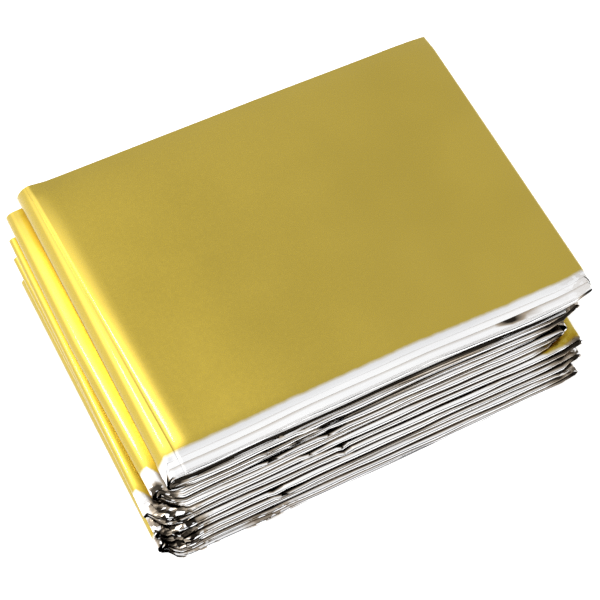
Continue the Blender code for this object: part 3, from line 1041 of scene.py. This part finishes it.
def add_floor():
    mesh = bpy.data.meshes.new("floor")
    signs = ((-1, -1), (1, -1), (1, 1), (-1, 1))
    mesh.from_pydata([(x * FLOOR_HALF, y * FLOOR_HALF, 0) for x, y in signs], [], [(0, 1, 2, 3)])
    floor = bpy.data.objects.new("floor", mesh)
    material = bpy.data.materials.new("floor")
    material.use_nodes = True
    inputs = material.node_tree.nodes["Principled BSDF"].inputs
    inputs["Base Color"].default_value = (FLOOR_GREY, FLOOR_GREY, FLOOR_GREY, 1)
    inputs["Roughness"].default_value = FLOOR_ROUGHNESS
    inputs["Emission Color"].default_value = (1, 1, 1, 1)
    inputs["Emission Strength"].default_value = FLOOR_GLOW
    mesh.materials.append(material)
    bpy.context.scene.collection.objects.link(floor)


# The camera, from the photo's perspective: degrees, millimetres and the point it looks at
CAMERA_AZIMUTH = -26.26
CAMERA_ELEVATION = 58.96
CAMERA_DISTANCE = 410.45
CAMERA_LENS = 90.0
SENSOR_WIDTH = 36.0
CAMERA_TARGET = (-5.47 - BOX_MIDDLE[0], -12.11 - BOX_MIDDLE[1], 23.0)


def towards(azimuth, elevation):
    a, e = math.radians(azimuth), math.radians(elevation)
    return Vector((math.sin(a) * math.cos(e), -math.cos(a) * math.cos(e), math.sin(e)))


def add_camera():
    camera = bpy.data.objects.new("camera", bpy.data.cameras.new("camera"))
    back = towards(CAMERA_AZIMUTH, CAMERA_ELEVATION)
    camera.location = (Vector(CAMERA_TARGET) + back * CAMERA_DISTANCE) * MM
    camera.rotation_mode = "QUATERNION"
    camera.rotation_quaternion = (-back).to_track_quat("-Z", "Y")
    camera.data.lens = CAMERA_LENS
    camera.data.sensor_width = SENSOR_WIDTH
    camera.data.clip_start = 0.01
    bpy.context.scene.collection.objects.link(camera)
    bpy.context.scene.camera = camera


# Soft boxes: where each stands as seen from the blanket, its size in metres and its power in watts
Softbox = namedtuple("Softbox", "name azimuth elevation distance width height power")
SOFTBOXES = (
    Softbox("left_behind", -141.2, 57.6, 1.22, 0.15, 0.20, 2.1),
)

# The studio round the blanket: bright, with a dark room behind the camera
ROOM_LIGHT = 1.0
ROOM_DARK = 0.02
DARK_AZIMUTH = -5.0
DARK_ELEVATION = 12.0
DARK_REACH = 40.0
DARK_EDGE = 8.0
# Soft glows on the left of the blanket: the middle of each, its reach and edge, and what it adds
Glow = namedtuple("Glow", "azimuth elevation reach edge light")
GLOWS = (
    Glow(-144.0, 52.0, 15.0, 14.0, 1.5),
    Glow(-112.0, 22.0, 32.0, 26.0, 0.8),
)


def add_studio():
    world = bpy.data.worlds.new("studio")
    world.use_nodes = True
    nodes, links = world.node_tree.nodes, world.node_tree.links
    direction = nodes.new("ShaderNodeTexCoord")

    def patch(azimuth, elevation, reach, soft, outside, inside):
        """A round soft patch of the room, with its values outside and inside."""
        towards_patch = nodes.new("ShaderNodeVectorMath")
        towards_patch.operation = "DOT_PRODUCT"
        towards_patch.inputs[1].default_value = towards(azimuth, elevation)
        links.new(direction.outputs["Generated"], towards_patch.inputs[0])
        edge = nodes.new("ShaderNodeMapRange")
        edge.interpolation_type = "SMOOTHSTEP"
        edge.inputs["From Min"].default_value = math.cos(math.radians(reach + soft))
        edge.inputs["From Max"].default_value = math.cos(math.radians(reach - soft))
        edge.inputs["To Min"].default_value = outside
        edge.inputs["To Max"].default_value = inside
        links.new(towards_patch.outputs["Value"], edge.inputs["Value"])
        return edge.outputs["Result"]

    light = patch(DARK_AZIMUTH, DARK_ELEVATION, DARK_REACH, DARK_EDGE, ROOM_LIGHT, ROOM_DARK)
    for glow in GLOWS:
        add = nodes.new("ShaderNodeMath")
        links.new(light, add.inputs[0])
        links.new(patch(glow.azimuth, glow.elevation, glow.reach, glow.edge, 0.0, glow.light), add.inputs[1])
        light = add.outputs["Value"]
    background = nodes["Background"]
    background.inputs["Color"].default_value = (1, 1, 1, 1)
    links.new(light, background.inputs["Strength"])
    bpy.context.scene.world = world


def add_lights():
    for box in SOFTBOXES:
        light = bpy.data.lights.new(box.name, "AREA")
        light.shape = "RECTANGLE"
        light.size, light.size_y, light.energy = box.width, box.height, box.power
        lamp = bpy.data.objects.new(box.name, light)
        back = towards(box.azimuth, box.elevation)
        lamp.location = back * box.distance
        lamp.rotation_mode = "QUATERNION"
        lamp.rotation_quaternion = back.to_track_quat("Z", "Y")
        bpy.context.scene.collection.objects.link(lamp)
    add_studio()


def main():
    add_camera()
    film = bpy.data.objects.new("blanket_film", blanket_mesh())
    film.data.materials.append(film_material())
    bpy.context.scene.collection.objects.link(film)
    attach(film, "root")
    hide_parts("foil_blanket")
    add_floor()
    add_lights()
    bpy.context.scene.view_settings.view_transform = "Standard"


main()
